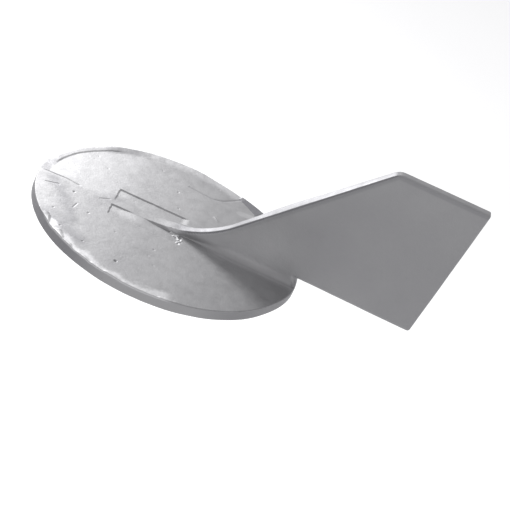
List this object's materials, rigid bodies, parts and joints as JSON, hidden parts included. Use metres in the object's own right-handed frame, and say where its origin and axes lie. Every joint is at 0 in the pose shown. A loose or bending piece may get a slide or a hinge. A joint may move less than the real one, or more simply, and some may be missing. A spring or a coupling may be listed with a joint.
{
  "type": "trim tab anode",
  "caption": "Zinc trim-tab sacrificial anode: a round disc with a swept fin, a hub with a cast-in threaded steel insert, and its clamping bolt with washers.",
  "frame": {"origin": "on the bolt axis, at the hub's face", "axes": "+Z along the bolt axis from the hub towards the fin's tip; +X aft, along the fin; Y square to the fin. On the boat +Z points down."},
  "size_m": [0.1511, 0.1, 0.081],
  "materials": {
    "cast_zinc": "rough as-cast zinc, dull grey",
    "insert_steel": "plain machined mild steel",
    "stainless_steel": "rolled and turned stainless steel"
  },
  "bodies": {
    "clamp_washer": {"flat_washer": "stainless_steel"},
    "tab": {"anode_casting": "cast_zinc", "threaded_bush": "insert_steel", "anchor_plate": "insert_steel"},
    "lock_washer": {"spring_washer": "stainless_steel"},
    "bolt": {"mounting_bolt": "stainless_steel"}
  },
  "joints": [
    {"name": "trim_angle", "type": "hinge", "parent": "clamp_washer", "child": "tab", "pos_m": [0, 0, 0], "axis": [0, 0, 1], "range_deg": [-20, 20]},
    {"name": "bolt_travel", "type": "slide", "parent": "clamp_washer", "child": "lock_washer", "axis": [0, 0, -1], "range_m": [0, 0.00625]},
    {"name": "bolt_turn", "type": "hinge", "parent": "lock_washer", "child": "bolt", "pos_m": [0, 0, 0], "axis": [0, 0, -1], "range_deg": [0, 1800]}
  ],
  "couplings": [
    {"joint": "bolt_turn", "follows": "bolt_travel", "rad_per_m": 5026.5}
  ]
}
